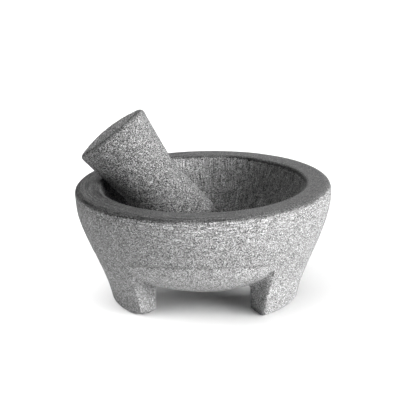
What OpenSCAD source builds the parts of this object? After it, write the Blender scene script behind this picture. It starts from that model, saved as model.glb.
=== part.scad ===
// Molcajete: a three-legged granite mortar with its double-ended pestle (tejolote).
// Millimetres. +Z up, -Y is the front. The origin is on the bowl's axis, on the ground
// the feet stand on. Two stones in all: the bowl with its legs is one carved block,
// and the pestle lies loose in it, leaning over the rim.

/* [Bowl] */
// Diameter over the rim
rim_diameter = 203; // [180:0.5:230]
// Height of the rim above the ground
bowl_height = 92; // [86:0.5:100]
// Width of the flat ring on top of the rim
rim_flat = 13.6; // [12:0.1:16]
// Rounding of the rim's outer edge
rim_outer_round = 5; // [3:0.1:7]
// Rounding of the rim's inner edge
rim_inner_round = 2; // [1:0.1:3]
// Depth of the hollow at its middle
hollow_depth = 64; // [52:0.5:66]

/* [Belly and legs] */
// Diameter over the feet at the ground
foot_diameter = 150.2; // [140:0.2:156]
// Gap between the ground and the middle of the belly
belly_clearance = 8.6; // [6:0.1:14]
// Radius of the broad round under the belly
belly_radius = 141; // [135:1:160]
// Distance of a leg's inner face from the bowl's axis
leg_inner_reach = 51.5; // [48:0.5:56]
// Width of a leg at its inner face
leg_inner_width = 32; // [26:0.5:36]
// Angle between a leg's side face and its middle line
leg_flare_angle = 32; // [28:0.5:35]
// Width of the worn flat along a leg's outer corners
leg_corner_flat = 3.8; // [3:0.1:5]
// Turn of the three legs about the bowl's axis, seen from above
leg_turn = -2.9; // [-6:0.1:6]
// Small bevel round the ground edge of the feet
foot_bevel = 1.5; // [0.5:0.1:3]

/* [Pestle] */
// Length between the rims of the two working ends
pestle_length = 97.5; // [85:0.5:100]
// Diameter of the upper working end
pestle_top_diameter = 62.4; // [56:0.2:64]
// Diameter of the lower working end
pestle_bottom_diameter = 58; // [52:0.2:60]
// Diameter of the waist held in the hand
pestle_waist_diameter = 48.5; // [40:0.5:52]
// Height of the waist above the lower rim
pestle_waist_height = 48.5; // [42:0.5:54]
// How far each working end bulges
pestle_end_bulge = 4.5; // [3:0.1:6]
// Rounding round each working end
pestle_end_round = 4; // [2:0.1:5]

/* [Pestle rest] */
// Lean of the pestle away from upright
pestle_lean = 37.1; // [35:0.1:40]
// Swing of the lean from straight left towards the back
pestle_swing = 7.9; // [5:0.1:12]
// Middle of the lower rim, left or right of the axis
pestle_seat_x = -14.1; // [-14.6:0.1:-13.6]
// Middle of the lower rim, in front of or behind the axis
pestle_seat_y = 9.8; // [9.3:0.1:10.3]
// Middle of the lower rim, above the ground
pestle_seat_z = 51.3; // [51.2:0.1:60]

/* [Hidden] */

$fn = 96;

bowl_colour = [0.68, 0.68, 0.67];
pestle_colour = [0.62, 0.62, 0.61];

// steps along each curve of a turned profile
wall_steps = 14;
hollow_steps = 16;
round_steps = 6;
end_steps = 8;

rim_radius = rim_diameter / 2;
foot_radius = foot_diameter / 2;
// where the wall runs into the rounding of the rim
shoulder_height = bowl_height - rim_outer_round;
hollow_floor = bowl_height - hollow_depth;
// inner edge of the flat ring, and the wall of the hollow just under it
flat_inner_radius = rim_radius - rim_outer_round - rim_flat;
mouth_radius = flat_inner_radius - rim_inner_round;
mouth_height = bowl_height - rim_inner_round;

// the wall flares out from the feet, then swells to the rim; the two middle points
// of its curve stand at these parts of its height, the lower one a little outwards
wall_flare = 5.8;
wall_flare_height = 0.37;
wall_swell_height = 0.655;
wall_curve = [
    [foot_radius, foot_bevel],
    [foot_radius + wall_flare, shoulder_height * wall_flare_height],
    [rim_radius, shoulder_height * wall_swell_height],
    [rim_radius, shoulder_height]
];

// the hollow is broad and round at the bottom and steep at the lip; the two middle
// points of its curve stand at these parts of its radius and depth
hollow_floor_reach = 0.618;
hollow_wall_reach = 0.94;
hollow_wall_height = 0.375;
hollow_curve = [
    [0, hollow_floor],
    [mouth_radius * hollow_floor_reach, hollow_floor],
    [mouth_radius * hollow_wall_reach, hollow_floor + hollow_depth * hollow_wall_height],
    [mouth_radius, mouth_height]
];

// belly: broad round below, tighter round up to the crease with the wall
belly_centre_height = belly_clearance + belly_radius;
belly_turn_radius = 78;
belly_turn_angle = asin(belly_turn_radius / belly_radius);
belly_shoulder_radius = 43;
belly_crease_angle = 68;
shoulder_step = (belly_crease_angle - belly_turn_angle) / round_steps;
belly_shoulder_centre = [
    (belly_radius - belly_shoulder_radius) * sin(belly_turn_angle),
    belly_centre_height - (belly_radius - belly_shoulder_radius) * cos(belly_turn_angle)
];
// outer reach and top of the blocks that cut the gaps between the legs
spare = 20;
gap_reach = rim_radius + spare;
gap_top_part = 0.68;
gap_top = bowl_height * gap_top_part;

// a leg's side face starts here and opens out by leg_flare_angle
leg_outer_reach = rim_radius + spare / 2;
leg_outer_width = leg_inner_width
    + 2 * (leg_outer_reach - leg_inner_reach) * tan(leg_flare_angle);
leg_angles = [for (leg = [0:2]) leg_turn + 120 * leg - 30];

// an outer corner of a leg, where its side face meets the wall at the ground
corner_foot_part = 0.931;
corner_foot_reach = foot_radius * corner_foot_part;
corner_foot_side = leg_inner_width / 2
    + (corner_foot_reach - leg_inner_reach) * tan(leg_flare_angle);
// lean of that corner as it follows the wall upwards, and the turn of its worn flat
corner_lean = 18.5;
corner_turn = 40;
corner_depth = leg_corner_flat / 2 / tan(corner_turn);
corner_block = 80;

pestle_seat = [pestle_seat_x, pestle_seat_y, pestle_seat_z];

// one point of a curve drawn with four control points
function curve_point(c, t) =
    pow(1 - t, 3) * c[0] + 3 * pow(1 - t, 2) * t * c[1]
    + 3 * (1 - t) * pow(t, 2) * c[2] + pow(t, 3) * c[3];

// the points of such a curve, from its first to its last
function curve_points(c, steps) = [for (i = [0:steps]) curve_point(c, i / steps)];

// points of an arc about a centre, angles measured from the level direction
function arc_points(centre, radius, from, to, steps) = [
    for (i = [0:steps])
        let (a = from + (to - from) * i / steps)
            centre + radius * [cos(a), sin(a)]
];

// half outline of a bulging pestle end: the rounded rim, then the bulge up to the axis
function end_points(radius, bulge, rounding) =
    let (
        dome = (radius * radius + bulge * bulge) / (2 * bulge),
        dome_centre = bulge - dome,
        round_radius = radius - rounding,
        round_centre = dome_centre
            + sqrt(pow(dome - rounding, 2) - pow(round_radius, 2)),
        meeting = atan2(round_centre - dome_centre, round_radius)
    )
    concat(
        arc_points([round_radius, round_centre], rounding, 0, meeting, round_steps),
        [
            for (i = [1:end_steps])
                let (a = meeting + (90 - meeting) * i / end_steps)
                    i == end_steps
                        ? [0, bulge]
                        : [dome * cos(a), dome_centre + dome * sin(a)]
        ]
    );

// the block before the gaps are cut: the outer wall and the flat rim
module turned_block() {
    rotate_extrude()
        polygon(concat(
            [[0, 0], [foot_radius - foot_bevel, 0]],
            curve_points(wall_curve, wall_steps),
            arc_points([rim_radius - rim_outer_round, shoulder_height],
                rim_outer_round, 90 / round_steps, 90, round_steps - 1),
            [[0, bowl_height]]
        ));
}

// the space of the hollow, with the rounded lip at its mouth
module hollow() {
    rotate_extrude()
        polygon(concat(
            curve_points(hollow_curve, hollow_steps),
            arc_points([flat_inner_radius, mouth_height],
                rim_inner_round, 180 - 90 / round_steps, 90, round_steps - 1),
            [[flat_inner_radius, bowl_height + spare], [0, bowl_height + spare]]
        ));
}

// the belly's round underside, carried up and out past the wall
module belly() {
    rotate_extrude()
        polygon(concat(
            [[0, belly_clearance]],
            arc_points([0, belly_centre_height], belly_radius,
                belly_turn_angle / wall_steps - 90, belly_turn_angle - 90, wall_steps - 1),
            arc_points(belly_shoulder_centre, belly_shoulder_radius,
                belly_turn_angle - 90 + shoulder_step, belly_crease_angle - 90, round_steps - 1),
            [[gap_reach + spare / 4, gap_top + spare], [0, gap_top + spare]]
        ));
}

// the upright wedge of stone one leg is cut from
module leg_wedge() {
    translate([0, 0, -1])
        linear_extrude(gap_top + 1)
            polygon([
                [leg_inner_reach, -leg_inner_width / 2],
                [leg_outer_reach, -leg_outer_width / 2],
                [leg_outer_reach, leg_outer_width / 2],
                [leg_inner_reach, leg_inner_width / 2]
            ]);
}

// the block that wears a flat along one outer corner of a leg
module corner_cut() {
    translate([corner_foot_reach, corner_foot_side, 0])
        rotate([0, 0, leg_flare_angle])
            rotate([0, corner_lean, 0])
                rotate([0, 0, corner_turn])
                    translate([-corner_depth, -corner_block / 4, -spare / 2])
                        cube([corner_block / 2, corner_block / 2, corner_block]);
}

// everything between and under the legs that is not belly
module leg_gaps() {
    difference() {
        union() {
            difference() {
                translate([0, 0, -1])
                    cylinder(r = gap_reach, h = gap_top + 1);
                for (a = leg_angles)
                    rotate([0, 0, a])
                        leg_wedge();
            }
            for (a = leg_angles)
                rotate([0, 0, a]) {
                    corner_cut();
                    mirror([0, 1, 0])
                        corner_cut();
                }
        }
        belly();
    }
}

module bowl() {
    color(bowl_colour)
        difference() {
            turned_block();
            hollow();
            leg_gaps();
        }
}

module pestle() {
    top = end_points(pestle_top_diameter / 2, pestle_end_bulge, pestle_end_round);
    bottom = end_points(pestle_bottom_diameter / 2, pestle_end_bulge, pestle_end_round);
    last = len(bottom) - 1;
    color(pestle_colour)
        translate(pestle_seat)
            rotate([0, 0, 180 - pestle_swing])
                rotate([0, pestle_lean, 0])
                    rotate_extrude()
                        polygon(concat(
                            [for (i = [0:last]) [bottom[last - i][0], -bottom[last - i][1]]],
                            [[pestle_waist_diameter / 2, pestle_waist_height]],
                            [for (p = top) [p[0], pestle_length + p[1]]]
                        ));
}

bowl();
pestle();
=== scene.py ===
import math

import bpy
import numpy as np
from mathutils import Matrix, Vector, noise


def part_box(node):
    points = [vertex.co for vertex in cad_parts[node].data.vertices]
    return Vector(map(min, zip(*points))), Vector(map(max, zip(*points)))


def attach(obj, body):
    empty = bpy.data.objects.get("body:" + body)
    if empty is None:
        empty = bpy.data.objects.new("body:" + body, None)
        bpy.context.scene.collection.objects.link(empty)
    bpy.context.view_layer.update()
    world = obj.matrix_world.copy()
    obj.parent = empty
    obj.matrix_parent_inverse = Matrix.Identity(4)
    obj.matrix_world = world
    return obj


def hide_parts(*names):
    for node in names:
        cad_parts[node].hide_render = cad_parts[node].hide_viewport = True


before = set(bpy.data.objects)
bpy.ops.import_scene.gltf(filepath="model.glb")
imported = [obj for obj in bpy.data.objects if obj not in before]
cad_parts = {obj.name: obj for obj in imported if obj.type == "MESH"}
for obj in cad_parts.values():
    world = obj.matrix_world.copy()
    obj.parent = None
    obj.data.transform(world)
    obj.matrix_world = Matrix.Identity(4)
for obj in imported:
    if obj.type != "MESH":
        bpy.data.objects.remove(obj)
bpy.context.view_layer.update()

MM = 0.001

# ---------------------------------------------------------------- sizes, in millimetres
RIM_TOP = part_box("bowl")[1][2] / MM
RIM_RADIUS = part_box("bowl")[1][0] / MM
# the mouth of the hollow, and the middle of the flat ring round it
MOUTH_RADIUS = 80.9
RING_RADIUS = 89.7
# how far down the smooth honed stone reaches, outside and inside
HONED_OUTSIDE = RIM_TOP - 2.6
HONED_INSIDE = RIM_TOP - 1.9
# the wall meets the belly in a crease at this height
CREASE = 48.2
# where the three legs stand, in degrees from the front towards the right
LEGS = (-62.9, 57.1, 177.1)
# the pestle: middle of its lower rim, its lean, its swing and its length
PESTLE_SEAT = np.array((-14.1, 9.8, 51.3))
PESTLE_LEAN = math.radians(37.1)
PESTLE_SWING = math.radians(7.9)
PESTLE_LENGTH = 97.5
# how far beyond the upper rim its groove lies
GROOVE_RISE = 0.9
# the side of the upper end that the groove marks: front left, facing a little down
GROOVE_SIDE = np.array((-0.442, -0.834, -0.331))
# size of the quads the stones are carved from
BOWL_QUAD = 1.3
PESTLE_QUAD = 1.0
# an outer corner of a leg: its angle from the leg's middle and its reach, at the ground,
# and what each of them gains with every millimetre up
CORNER_ANGLE = 19.5
CORNER_ANGLE_GAIN = 0.125
CORNER_REACH = 72
CORNER_REACH_GAIN = 0.25
# the flake off the lip at the back right, and the bright line beside it, in radians
FLAKE_AZIMUTH = 2.71
LINE_AZIMUTH = 2.28

# ---------------------------------------------------------------- the granite
# how pale each stone is
BOWL_GREY = 0.256
PESTLE_GREY = 0.172
HONED_GREY = 0.123
# how strongly the crystals differ: 1 leaves them as grains() makes them
BOWL_CONTRAST = 0.95
PESTLE_CONTRAST = 1.3
# crystals, and lumps of finer noise, to the metre
CRYSTALS = 2100
FINE_LUMPS = 2900
# how deep the bump between crystals is, in millimetres
BUMP_DEPTH = 0.35


# ---------------------------------------------------------------- mesh helpers
def read_points(mesh, what):
    """The points or the normals of a mesh, one row for each point."""
    rows = np.empty((len(mesh.vertices), 3))
    mesh.vertices.foreach_get(what, rows.ravel())
    return rows


def set_points(mesh, points):
    """Move the points of a mesh to places in millimetres."""
    mesh.vertices.foreach_set("co", (points * MM).ravel())
    mesh.update()


def set_values(mesh, name, values):
    """One number for each point, for the material to read."""
    mesh.attributes.new(name, "FLOAT", "POINT").data.foreach_set("value", values.astype(float))


def stone_skin(node, name, quad):
    """A new object with the outer skin of a CAD node as even small quads, edges a little worn."""
    rough = bpy.data.objects.new(name + "_start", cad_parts[node].data.copy())
    bpy.context.scene.collection.objects.link(rough)
    remesh = rough.modifiers.new("even_quads", "REMESH")
    remesh.mode = "VOXEL"
    remesh.voxel_size = quad * MM
    depsgraph = bpy.context.evaluated_depsgraph_get()
    mesh = bpy.data.meshes.new_from_object(rough.evaluated_get(depsgraph))
    bpy.data.objects.remove(rough)
    mesh.name = name
    mesh.materials.clear()
    stone = bpy.data.objects.new(name, mesh)
    bpy.context.scene.collection.objects.link(stone)
    mesh.shade_smooth()
    return stone


def noise_at(points, size, seed=0.0):
    """Smooth noise from about -1 to 1 whose lumps are about size across; size may be three numbers."""
    scaled = points / np.asarray(size) + seed
    return np.array([noise.noise(Vector(p)) for p in scaled])


def step(value, start, end):
    """0 before start, 1 beyond end, and smooth between."""
    t = np.clip((value - start) / (end - start), 0, 1)
    return t * t * (3 - 2 * t)


def around(azimuth, radius, height):
    """A point of the bowl by its azimuth in degrees, from the front towards the right."""
    a = math.radians(azimuth)
    return np.array((radius * math.sin(a), -radius * math.cos(a), height))


def dent(points, normals, centre, size, depth):
    """A shallow chip of this size and depth round a centre; size may be three numbers."""
    away = np.linalg.norm((points - centre) / np.asarray(size), axis=1)
    return points - normals * (depth * (1 - step(away, 0.4, 1.0)))[:, None]


# ---------------------------------------------------------------- the bowl
def leg_corner(leg, side, height):
    """A point on the outer corner of a leg; side is -1 or 1."""
    angle = CORNER_ANGLE + CORNER_ANGLE_GAIN * height
    return around(leg + side * angle, CORNER_REACH + CORNER_REACH_GAIN * height, height)


def chip_bowl(p, n):
    """Small chips along the lip and the corners of the legs, one worn foot and one long flake."""
    chance = np.random.default_rng(11)
    for _ in range(16):
        spot = around(chance.uniform(0, 360), MOUTH_RADIUS + 0.6, RIM_TOP - 0.5)
        p = dent(p, n, spot, chance.uniform(1.4, 2.4), chance.uniform(0.2, 0.5))
    for leg in LEGS:
        for side in (-1, 1):
            for _ in range(6):
                spot = leg_corner(leg, side, chance.uniform(1, 34))
                p = dent(p, n, spot, chance.uniform(1.6, 3.0), chance.uniform(0.3, 0.8))
    p = dent(p, n, leg_corner(LEGS[0], 1, 0), (9, 9, 7), 1.8)
    flake = around(math.degrees(FLAKE_AZIMUTH), MOUTH_RADIUS - 0.4, RIM_TOP - 1.5)
    return dent(p, n, flake, (9, 4, 2.6), 0.7)


def make_bowl():
    stone = stone_skin("bowl", "bowl_stone", BOWL_QUAD)
    mesh = stone.data
    p = read_points(mesh, "co") / MM
    n = read_points(mesh, "normal")
    radius = np.hypot(p[:, 0], p[:, 1])
    azimuth = np.arctan2(p[:, 0], -p[:, 1])
    inward = -(n[:, 0] * p[:, 0] + n[:, 1] * p[:, 1]) / np.maximum(radius, 1)

    # the hollow lies well above this bowl-shaped surface, the belly well below it
    hollow = (p[:, 2] > 22 + 18 * (radius / 75) ** 2) & (radius < RING_RADIUS) & (inward > -0.2)
    unrolled = np.stack([azimuth * RIM_RADIUS, radius * 0, p[:, 2]], -1)
    wobble = 0.9 * noise_at(unrolled, (21, 9, 5), 3.1) + 0.3 * noise_at(unrolled, (7, 9, 2), 8.7)
    # inside, the honing reaches deepest at the back right; outside, its edge climbs to the right
    deeper = 1.3 * (1 - step(np.abs(azimuth - 2.1), 0.3, 0.75))
    higher = 0.9 * np.sin(azimuth)
    honed_edge = np.where(hollow, HONED_INSIDE - deeper, HONED_OUTSIDE + higher)
    above = p[:, 2] - honed_edge - wobble
    honed = step(above, -0.4, 0.4)

    # marks of the tools: level ones outside, steep ones in the hollow
    level_marks = noise_at(unrolled, (24, 9, 2.4), 1.7)
    steep_marks = noise_at(unrolled, (3.0, 9, 22), 5.3)
    marks = 0.16 * level_marks * step(p[:, 2], 40, 62) * ~hollow + 0.2 * steep_marks * hollow

    lumps = 0.3 * noise_at(p, 34, 0.4) + 0.16 * noise_at(p, 11, 2.2)
    pecks = 0.15 * noise_at(p, 3.6, 6.1) + 0.1 * noise_at(p, 2.7, 9.4)
    lift = lumps * (1 - 0.6 * honed) + (pecks + marks - 0.12) * (1 - honed)

    # dark pits along the outer corners of the legs, where the wall turns into a leg's side; the
    # darkening is partly painted shade of a sharp corner
    sideways = n[:, 0] * np.cos(azimuth) + n[:, 1] * np.sin(azimuth)
    corner = np.exp(-(((inward + 0.8) / 0.12) ** 2)) * step(np.abs(sideways), 0.25, 0.45)
    corner_pits_and_shade = corner * step(p[:, 2], 46, 38) * step(noise_at(p, 4.5, 7.7), -0.4, 0.2)

    p = chip_bowl(p + n * lift[:, None], n)
    p[:, 2] = np.clip(p[:, 2], 0, RIM_TOP)
    set_points(mesh, p)
    set_values(mesh, "above_honed", above)
    set_values(mesh, "in_hollow", hollow.astype(float))
    set_values(mesh, "corner_pits_and_shade", corner_pits_and_shade)
    return stone


# ---------------------------------------------------------------- the pestle
def make_pestle():
    stone = stone_skin("pestle", "pestle_stone", PESTLE_QUAD)
    mesh = stone.data
    p = read_points(mesh, "co") / MM
    n = read_points(mesh, "normal")
    sideways = math.sin(PESTLE_LEAN)
    left = sideways * math.cos(PESTLE_SWING)
    back = sideways * math.sin(PESTLE_SWING)
    axis = np.array((-left, back, math.cos(PESTLE_LEAN)))
    along = (p - PESTLE_SEAT) @ axis
    lumps = 0.28 * noise_at(p, 26, 4.4) + 0.16 * noise_at(p, 9, 7.9)
    pecks = 0.16 * noise_at(p, 3.4, 1.3) + 0.12 * noise_at(p, 2.4, 5.8)
    rings = 0.1 * noise_at(np.stack([along, along * 0, along * 0], -1), 2.2, 3.3)

    # a sharp groove where the upper end was dressed, on one side only; the material paints a shadow
    # along it
    facing = n @ GROOVE_SIDE
    grooved = step(facing, 0.35, 0.75)
    groove = np.exp(-(((along - PESTLE_LENGTH - GROOVE_RISE) / 0.9) ** 2)) * grooved

    p = p + n * (lumps + pecks + rings - 0.1 - 0.5 * groove)[:, None]
    set_points(mesh, p)
    set_values(mesh, "along", along)
    set_values(mesh, "grooved", grooved)
    return stone


# ---------------------------------------------------------------- materials
class Nodes:
    """Short names for adding and joining shader nodes."""

    def __init__(self, name):
        self.material = bpy.data.materials.new(name)
        self.material.use_nodes = True
        self.tree = self.material.node_tree
        self.tree.nodes.clear()

    def add(self, kind, inputs=None, **settings):
        node = self.tree.nodes.new(kind)
        for key, value in settings.items():
            setattr(node, key, value)
        for key, value in (inputs or {}).items():
            self.set(node.inputs[key], value)
        return node

    def set(self, socket, value):
        if isinstance(value, bpy.types.NodeSocket):
            self.tree.links.new(value, socket)
        else:
            socket.default_value = value

    def math(self, operation, a, b=0.0, c=0.0):
        return self.add("ShaderNodeMath", {0: a, 1: b, 2: c}, operation=operation).outputs[0]

    def times(self, *values):
        """All the values multiplied together."""
        product = values[0]
        for value in values[1:]:
            product = self.math("MULTIPLY", product, value)
        return product

    def blend(self, factor, a, b):
        """Number a where factor is 0, b where it is 1."""
        return self.add("ShaderNodeMix", {"Factor": factor, 2: a, 3: b}, data_type="FLOAT").outputs[0]

    def range(self, value, start, end, low=0.0, high=1.0):
        """Value from start to end, turned smoothly into low to high."""
        return self.add(
            "ShaderNodeMapRange",
            {"Value": value, "From Min": start, "From Max": end, "To Min": low, "To Max": high},
            interpolation_type="SMOOTHSTEP",
        ).outputs[0]

    def near(self, value, middle, start, end):
        """1 within start of the middle, falling smoothly to 0 beyond end."""
        away = self.math("ABSOLUTE", self.math("SUBTRACT", value, middle))
        return self.range(away, start, end, 1.0, 0.0)

    def stored(self, name):
        """A number that set_values kept on the mesh."""
        return self.add("ShaderNodeAttribute", attribute_name=name).outputs["Fac"]

    def noise(self, where, scale, detail=2.0, rough=0.5):
        return self.add(
            "ShaderNodeTexNoise",
            {"Vector": where, "Scale": scale, "Detail": detail, "Roughness": rough},
        ).outputs["Fac"]

    def steps(self, value, stops):
        """A grey ramp: stops are (place, grey)."""
        ramp = self.add("ShaderNodeValToRGB", {"Fac": value})
        elements = ramp.color_ramp.elements
        while len(elements) < len(stops):
            elements.new(0.5)
        for element, (place, grey) in zip(elements, stops):
            element.position = place
            element.color = (grey, grey, grey, 1)
        return ramp.outputs["Color"]

    def from_axis(self, here, height_part=0.0):
        """How far a place is from the bowl's axis, with a part of its height counted in."""
        flat = self.add(
            "ShaderNodeVectorMath", {0: here, 1: (1, 1, height_part)}, operation="MULTIPLY"
        ).outputs[0]
        return self.add("ShaderNodeVectorMath", {0: flat}, operation="LENGTH").outputs["Value"]

    def azimuth(self, here):
        """The angle round the bowl, in radians from the front towards the right."""
        place = self.add("ShaderNodeSeparateXYZ", {0: here})
        return self.math("ARCTAN2", place.outputs[0], self.math("MULTIPLY", place.outputs[1], -1.0))

    def unrolled(self, here, azimuth, length, height):
        """The turned wall laid flat, for marks this long and this high, in millimetres."""
        place = self.add("ShaderNodeSeparateXYZ", {0: here})
        around_it = self.math("MULTIPLY", azimuth, RIM_RADIUS / length)
        up_it = self.math("MULTIPLY", place.outputs[2], 1 / (height * MM))
        return self.add("ShaderNodeCombineXYZ", {0: around_it, 1: up_it}).outputs[0]


def grains(m, here):
    """Light and dark crystals half a millimetre across, with finer shading over them.

    Gives their tone, about 1 on average, and a height for the bump.
    """
    cells = m.add("ShaderNodeTexVoronoi", {"Vector": here, "Scale": CRYSTALS}, feature="F1")
    pick = m.add("ShaderNodeSeparateColor", {"Color": cells.outputs["Color"]}).outputs[0]
    crystals = m.steps(pick, [(0.0, 0.1), (0.2, 0.28), (0.4, 0.8), (0.75, 1.25), (1.0, 2.2)])
    fine = m.noise(here, FINE_LUMPS, 1)
    shade = m.range(fine, 0.3, 0.7, 0.4, 1.6)
    patches = m.range(m.noise(here, 170, 3), 0.3, 0.7, 0.9, 1.1)
    tone = m.times(crystals, shade, patches)
    height = m.math("ADD", fine, m.math("MULTIPLY", pick, 0.5))
    return tone, height


def finish(m, level, roughness, height):
    """The stone's shader; level is how pale it is, height is what its bump follows."""
    colour = m.add("ShaderNodeCombineColor", {0: level, 1: level, 2: level}).outputs[0]
    bump = m.add(
        "ShaderNodeBump", {"Height": height, "Strength": 0.7, "Distance": BUMP_DEPTH * MM}
    ).outputs[0]
    shader = m.add(
        "ShaderNodeBsdfPrincipled",
        {"Base Color": colour, "Roughness": roughness, "Normal": bump, "Specular IOR Level": 0.12},
    )
    m.add("ShaderNodeOutputMaterial", {"Surface": shader.outputs[0]})
    return m.material


def crease_shade_and_floor_light(m, here, azimuth):
    """Paler stone below the crease, which arches up between two legs, and on the legs' feet: painted
    light from the floor; and a painted shadow just above the crease.
    """
    # gap is 1 in the middle of a gap and -1 in the middle of a leg
    gap = m.math("COSINE", m.math("MULTIPLY", m.math("ADD", azimuth, 0.05), 3.0))
    crease = m.math("MULTIPLY_ADD", gap, 3.2 * MM, CREASE * MM)
    height = m.add("ShaderNodeSeparateXYZ", {0: here}).outputs[2]
    ragged = m.math("MULTIPLY", m.math("SUBTRACT", m.noise(here, 300, 2), 0.5), 3 * MM)
    over = m.math("SUBTRACT", m.math("ADD", height, ragged), crease)
    # painted light: the stone below the crease is made paler, as if lit from the floor
    painted_floor_light = m.range(over, -0.8 * MM, 0.8 * MM, 1.17, 1.0)
    # painted shadow in a thin band just above the crease
    shadow = m.blend(m.near(over, 1.2 * MM, 0.0, 2 * MM), 1.0, 0.74)
    # painted light: the legs are made paler towards the ground, as if lit from the floor
    leg = m.range(height, 20 * MM, 45 * MM, 1.14, 1.0)
    return m.blend(m.range(gap, -0.5, -0.1), leg, m.times(painted_floor_light, shadow))


def lip_marks(m, here, azimuth):
    """A dark flake off the lip at the back right, and a bright line just outside the lip."""
    radius = m.from_axis(here)
    on_lip = m.near(radius, MOUTH_RADIUS * MM, 0.8 * MM, 1.8 * MM)
    beside_lip = m.near(radius, (MOUTH_RADIUS + 1.3) * MM, 0.6 * MM, 1.5 * MM)
    flake = m.times(m.near(azimuth, FLAKE_AZIMUTH, 0.1, 0.17), on_lip)
    line = m.times(m.near(azimuth, LINE_AZIMUTH, 0.12, 0.3), beside_lip)
    return m.times(m.blend(flake, 1.0, 0.45), m.blend(line, 1.0, 1.6))


def turned_lines(m, here, azimuth):
    """Fine dark lines round the honed ring, mostly at the front left."""
    across = m.math("MULTIPLY", m.from_axis(here, 0.6), 1 / (0.75 * MM))
    along = m.math("MULTIPLY", azimuth, RIM_RADIUS / 34)
    where = m.add("ShaderNodeCombineXYZ", {0: across, 1: along}).outputs[0]
    lines = m.range(m.noise(where, 1, 2, 0.6), 0.38, 0.58, 0.42, 1.15)
    return m.blend(m.range(azimuth, 0.0, 0.6, 0.9, 0.15), 1.0, lines)


def wall_marks(m, here, azimuth, above):
    """Level strokes on the upper wall, strongest at the front."""
    where = m.unrolled(here, azimuth, 11, 1.1)
    strokes = m.range(m.noise(where, 1, 2), 0.42, 0.66, 0.85, 1.5)
    front = m.blend(m.near(azimuth, 0.0, 0.25, 0.8), 0.35, 1.0)
    high = m.range(above, -22.0, -6.0)
    return m.blend(m.times(front, high), 1.0, strokes)


def hollow_marks(m, here, azimuth):
    """Steep strokes in the hollow, with a painted shadow on the left where the pestle leans over it
    and painted light on the right.
    """
    where = m.unrolled(here, azimuth, 1.0, 13)
    strokes = m.range(m.noise(where, 1, 2), 0.32, 0.68, 0.62, 1.36)
    # painted shadow under the pestle, darkest on the left of the hollow
    painted_pestle_shadow = m.range(m.math("COSINE", m.math("ADD", azimuth, 1.3)), 0.4, 0.9, 1.0, 0.5)
    # painted light: the right of the hollow made paler
    painted_right_light = m.range(m.math("COSINE", m.math("SUBTRACT", azimuth, 1.5)), 0.1, 0.9, 1.0, 1.1)
    return m.times(strokes, painted_pestle_shadow, painted_right_light, 1.12)


def bowl_granite():
    m = Nodes("bowl_granite")
    here = m.add("ShaderNodeTexCoord").outputs["Object"]
    azimuth = m.azimuth(here)
    tone, height = grains(m, here)
    ragged = m.range(m.noise(here, 600, 2), 0.3, 0.7, -0.5, 0.5)
    above = m.math("ADD", m.stored("above_honed"), ragged)

    # rough stone, inside the hollow and outside it
    outside = m.times(wall_marks(m, here, azimuth, above), crease_shade_and_floor_light(m, here, azimuth))
    marks = m.blend(m.stored("in_hollow"), outside, hollow_marks(m, here, azimuth))
    # pits and painted shade: patchy dark along the legs' outer corners
    pits_and_corner_shade = m.blend(m.stored("corner_pits_and_shade"), 1.0, 0.25)
    rough = m.times(m.math("POWER", tone, BOWL_CONTRAST), marks, pits_and_corner_shade, BOWL_GREY)

    # the honed ring, where the crystals show less
    turned = turned_lines(m, here, azimuth)
    smooth = m.times(m.blend(0.8, 1.0, tone), turned, lip_marks(m, here, azimuth), HONED_GREY)

    honed = m.range(above, -0.3, 0.3)
    bump = m.times(height, m.blend(honed, 1.0, 0.15))
    return finish(m, m.blend(honed, rough, smooth), m.blend(honed, 0.9, 0.55), bump)


def pestle_granite():
    m = Nodes("pestle_granite")
    here = m.add("ShaderNodeTexCoord").outputs["Object"]
    tone, height = grains(m, here)
    along = m.stored("along")
    up_axis = m.add("ShaderNodeCombineXYZ", {0: along}).outputs[0]
    rings = m.range(m.noise(up_axis, 0.9, 2), 0.3, 0.7, 0.9, 1.1)
    # the upper end is painted paler than the body: painted light on its face, which turns up and to
    # the left
    painted_end_light = m.range(along, PESTLE_LENGTH + 0.2, PESTLE_LENGTH + 1.8, 1.0, 2.3)
    # painted shadow: a dark line along the groove, on its one side
    line = m.times(m.near(along, PESTLE_LENGTH + GROOVE_RISE, 0.3, 1.0), m.stored("grooved"))
    groove = m.blend(line, 1.0, 0.35)
    level = m.times(m.math("POWER", tone, PESTLE_CONTRAST), rings, painted_end_light, groove, PESTLE_GREY)
    return finish(m, level, 0.88, height)


# ---------------------------------------------------------------- floor, light and camera
def floor_white():
    m = Nodes("floor_white")
    shader = m.add("ShaderNodeBsdfPrincipled", {"Base Color": (0.86, 0.86, 0.86, 1), "Roughness": 0.9})
    m.add("ShaderNodeOutputMaterial", {"Surface": shader.outputs[0]})
    return m.material


def make_floor():
    # half the floor's width, in metres
    half = 8.0
    corners = [(-half, -half, 0), (half, -half, 0), (half, half, 0), (-half, half, 0)]
    mesh = bpy.data.meshes.new("floor")
    mesh.from_pydata(corners, [], [(0, 1, 2, 3)])
    mesh.materials.append(floor_white())
    floor = bpy.data.objects.new("floor", mesh)
    bpy.context.scene.collection.objects.link(floor)
    return floor


def soft_light(name, azimuth, height, strength):
    """A broad soft light from far off; azimuth goes from the front towards the right."""
    data = bpy.data.lights.new(name, "SUN")
    data.angle = math.radians(50)
    data.energy = strength
    light = bpy.data.objects.new(name, data)
    towards = Vector(around(azimuth, math.cos(math.radians(height)), math.sin(math.radians(height))))
    light.rotation_euler = towards.to_track_quat("Z", "Y").to_euler()
    bpy.context.scene.collection.objects.link(light)
    return light


def make_world():
    """White where the camera sees past the floor; it lights nothing."""
    world = bpy.data.worlds.new("studio")
    world.use_nodes = True
    tree = world.node_tree
    seen = tree.nodes.new("ShaderNodeLightPath").outputs["Is Camera Ray"]
    background = tree.nodes["Background"]
    background.inputs["Color"].default_value = (1, 1, 1, 1)
    tree.links.new(seen, background.inputs["Strength"])
    bpy.context.scene.world = world


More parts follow.
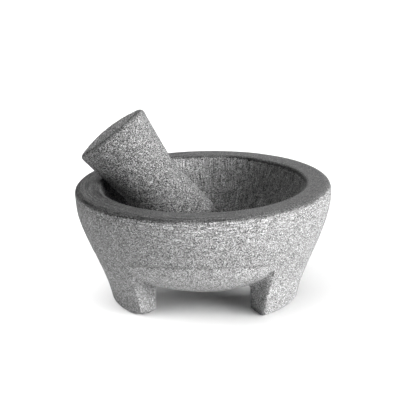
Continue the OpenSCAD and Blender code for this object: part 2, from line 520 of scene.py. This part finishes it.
def side_lamp():
    """A small lamp over the shadow beside the left of the bowl, aimed at the floor there."""
    place = Vector((-0.3, 0.02, 0.35))
    aim = Vector((-0.13, 0.0, 0.0))
    data = bpy.data.lights.new("floor_side", "AREA")
    data.size = 0.15
    data.energy = 0.4
    lamp = bpy.data.objects.new("floor_side", data)
    lamp.location = place
    lamp.rotation_euler = (place - aim).to_track_quat("Z", "Y").to_euler()
    lamp.visible_camera = False
    bpy.context.scene.collection.objects.link(lamp)
    return lamp


def make_light(floor):
    """Low key lights from the front right, fill all round, and three lights for the floor alone."""
    soft_light("key_low", 60, 10, 3.9)
    soft_light("key_side", 75, 5, 4.2)
    soft_light("key_high", 60, 22, 1.3)
    soft_light("back", 180, 34, 1.1)
    soft_light("front_left", -70, 45, 0.2)
    soft_light("top_left", -80, 65, 0.35)
    floor_top = soft_light("floor_top", 0, 88, 1.2)
    floor_left = soft_light("floor_left", -70, 35, 2.3)
    only_floor = bpy.data.collections.new("only_floor")
    only_floor.objects.link(floor)
    for light in (floor_top, floor_left, side_lamp()):
        light.light_linking.receiver_collection = only_floor


def make_camera():
    """A long lens looking down at the bowl, leaning a little to one side."""
    data = bpy.data.cameras.new("camera")
    data.sensor_width = 36
    data.lens = 115.26
    data.clip_end = 50
    # how far it looks down, leans over and turns to the right
    down = math.radians(16.93)
    roll = math.radians(-1.24)
    turn = math.radians(0.07)
    level = math.cos(down)
    ahead = Vector((math.sin(turn) * level, math.cos(turn) * level, -math.sin(down)))
    right = ahead.cross(Vector((0, 0, 1))).normalized()
    up = right.cross(ahead)
    across = right * math.cos(roll) + up * math.sin(roll)
    upright = up * math.cos(roll) - right * math.sin(roll)
    facing = Matrix((across, upright, -ahead)).transposed().to_4x4()
    camera = bpy.data.objects.new("camera", data)
    camera.matrix_world = Matrix.Translation((0, -1.0, 0.377)) @ facing
    bpy.context.scene.collection.objects.link(camera)
    bpy.context.scene.camera = camera


bowl = make_bowl()
bowl.data.materials.append(bowl_granite())
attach(bowl, "bowl")
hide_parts("bowl")

pestle = make_pestle()
pestle.data.materials.append(pestle_granite())
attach(pestle, "pestle")
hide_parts("pestle")

make_world()
make_light(make_floor())
make_camera()
bpy.context.scene.view_settings.view_transform = "Standard"
